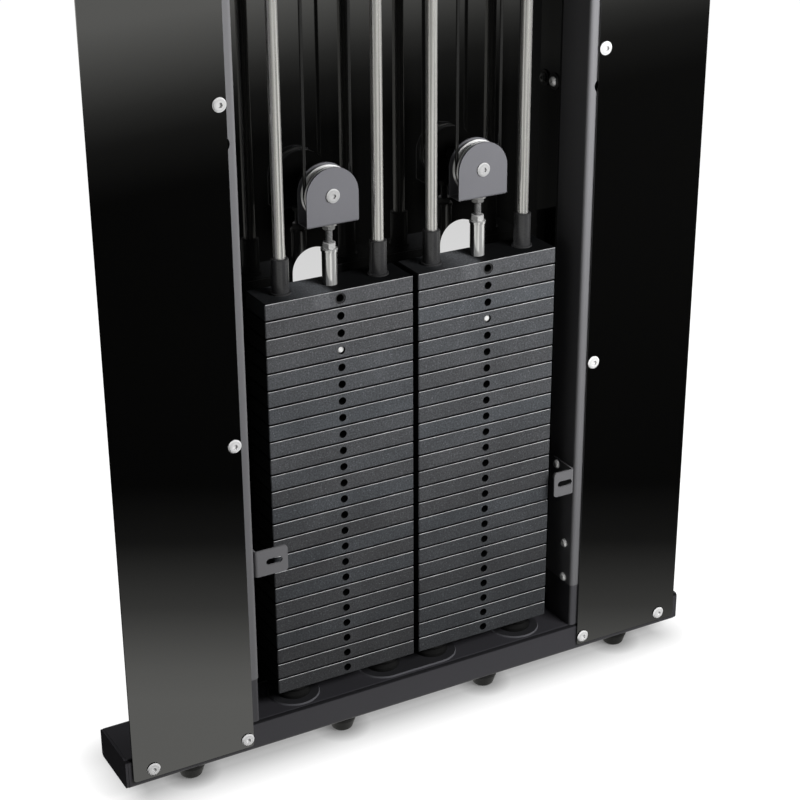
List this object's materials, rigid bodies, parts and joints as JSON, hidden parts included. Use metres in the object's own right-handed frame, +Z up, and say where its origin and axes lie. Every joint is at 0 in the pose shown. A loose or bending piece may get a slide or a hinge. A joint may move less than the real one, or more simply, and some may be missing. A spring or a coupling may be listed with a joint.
{
  "type": "weight stack tower",
  "caption": "Freestanding wall pulley tower: two selectorised weight stacks on guide rods, lifted by cables over pulleys, between glossy side covers.",
  "frame": {"origin": "centre of the whole tower's box, on the floor under its feet", "axes": "+X across the tower to the right as seen from its open rear, +Y from the open rear to the user's side, +Z up"},
  "size_m": [0.954, 0.139, 1.952],
  "materials": {
    "frame_coat": "satin charcoal powder coat",
    "upright_coat": "satin grey powder coat",
    "gloss_black": "high-gloss black lacquer on sheet steel",
    "plate_coat": "fine textured black powder coat",
    "yoke_coat": "satin grey powder coat",
    "chrome": "polished chrome plate",
    "zinc": "bright zinc-plated steel",
    "machined": "turned and polished aluminium",
    "black_rubber": "matt black rubber",
    "black_nylon": "matt black nylon",
    "cable_jacket": "smooth black nylon jacket",
    "black_steel": "black oxide steel"
  },
  "bodies": {
    "frame": {"base_beam": "frame_coat", "end_plates": "frame_coat", "feet": "black_rubber", "upright_stubs": "frame_coat", "uprights": "upright_coat", "spigots": "black_steel", "top_beam": "frame_coat", "left_cover": "gloss_black", "right_cover": "gloss_black", "cover_bolts": "zinc", "user_shroud": "gloss_black", "frame_screws": "zinc", "shroud_washers": "black_steel", "slotted_brackets": "upright_coat", "rod_seats": "frame_coat", "bumpers": "black_rubber", "guide_rods": "chrome", "rod_collars": "zinc", "left_resting_plates": "plate_coat", "right_resting_plates": "plate_coat", "resting_bushings": "black_nylon", "top_yokes": "frame_coat", "top_axles": "zinc", "cable_anchors": "zinc", "top_cable_wraps": "cable_jacket", "left_cable_falls": "cable_jacket", "right_cable_falls": "cable_jacket", "left_user_cable": "cable_jacket", "right_user_cable": "cable_jacket"},
    "left_lift": {"left_top_plate": "plate_coat", "left_lifted_plates": "plate_coat", "left_lifted_bushings": "black_nylon", "left_guide_sleeves": "black_nylon", "left_selector_stem": "chrome", "left_stem_nuts": "zinc", "left_hanger_screw": "zinc", "left_yoke": "yoke_coat", "left_axle": "zinc", "left_cable_loop": "cable_jacket"},
    "left_pulley": {"left_sheave": "machined"},
    "left_top_pulley": {"left_top_sheave": "machined"},
    "left_pin": {"left_selector_pin": "chrome"},
    "left_user_end": {"left_stop_ball": "black_rubber", "left_snap_hook": "chrome"},
    "right_lift": {"right_top_plate": "plate_coat", "right_lifted_plates": "plate_coat", "right_lifted_bushings": "black_nylon", "right_guide_sleeves": "black_nylon", "right_selector_stem": "chrome", "right_stem_nuts": "zinc", "right_hanger_screw": "zinc", "right_yoke": "yoke_coat", "right_axle": "zinc", "right_cable_loop": "cable_jacket"},
    "right_pulley": {"right_sheave": "machined"},
    "right_top_pulley": {"right_top_sheave": "machined"},
    "right_pin": {"right_selector_pin": "chrome"},
    "right_user_end": {"right_stop_ball": "black_rubber", "right_snap_hook": "chrome"}
  },
  "joints": [
    {"name": "left_lift_slide", "type": "slide", "parent": "frame", "child": "left_lift", "axis": [0, 0, 1], "range_m": [0, 0.8], "deforming": ["left_cable_falls"]},
    {"name": "left_pulley_spin", "type": "hinge", "parent": "left_lift", "child": "left_pulley", "pos_m": [-0.1173, -0.0165, 0.8305], "axis": [0, 1, 0], "range_deg": [0, 1329.6]},
    {"name": "left_top_pulley_spin", "type": "hinge", "parent": "frame", "child": "left_top_pulley", "pos_m": [-0.1518, 0.018, 1.863], "axis": [1, 0, 0], "range_deg": [-2658.2, 0]},
    {"name": "left_user_slide", "type": "slide", "parent": "frame", "child": "left_user_end", "axis": [0, 0, -1], "range_m": [0, 1.6], "deforming": ["left_user_cable"]},
    {"name": "left_pin_slide", "type": "slide", "parent": "left_lift", "child": "left_pin", "axis": [0, 1, 0], "range_m": [0, 0.005]},
    {"name": "right_lift_slide", "type": "slide", "parent": "frame", "child": "right_lift", "axis": [0, 0, 1], "range_m": [0, 0.8], "deforming": ["right_cable_falls"]},
    {"name": "right_pulley_spin", "type": "hinge", "parent": "right_lift", "child": "right_pulley", "pos_m": [0.1173, -0.0165, 0.8305], "axis": [0, 1, 0], "range_deg": [-1329.6, 0]},
    {"name": "right_top_pulley_spin", "type": "hinge", "parent": "frame", "child": "right_top_pulley", "pos_m": [0.1518, 0.018, 1.863], "axis": [1, 0, 0], "range_deg": [-2658.2, 0]},
    {"name": "right_user_slide", "type": "slide", "parent": "frame", "child": "right_user_end", "axis": [0, 0, -1], "range_m": [0, 1.6], "deforming": ["right_user_cable"]},
    {"name": "right_pin_slide", "type": "slide", "parent": "right_lift", "child": "right_pin", "axis": [0, 1, 0], "range_m": [0, 0.005]}
  ],
  "couplings": [
    {"joint": "left_pulley_spin", "follows": "left_lift_slide", "rad_per_m": 28.985},
    {"joint": "left_top_pulley_spin", "follows": "left_lift_slide", "rad_per_m": -57.971},
    {"joint": "left_user_slide", "follows": "left_lift_slide", "ratio": 2},
    {"joint": "right_pulley_spin", "follows": "right_lift_slide", "rad_per_m": -28.985},
    {"joint": "right_top_pulley_spin", "follows": "right_lift_slide", "rad_per_m": -57.971},
    {"joint": "right_user_slide", "follows": "right_lift_slide", "ratio": 2}
  ]
}
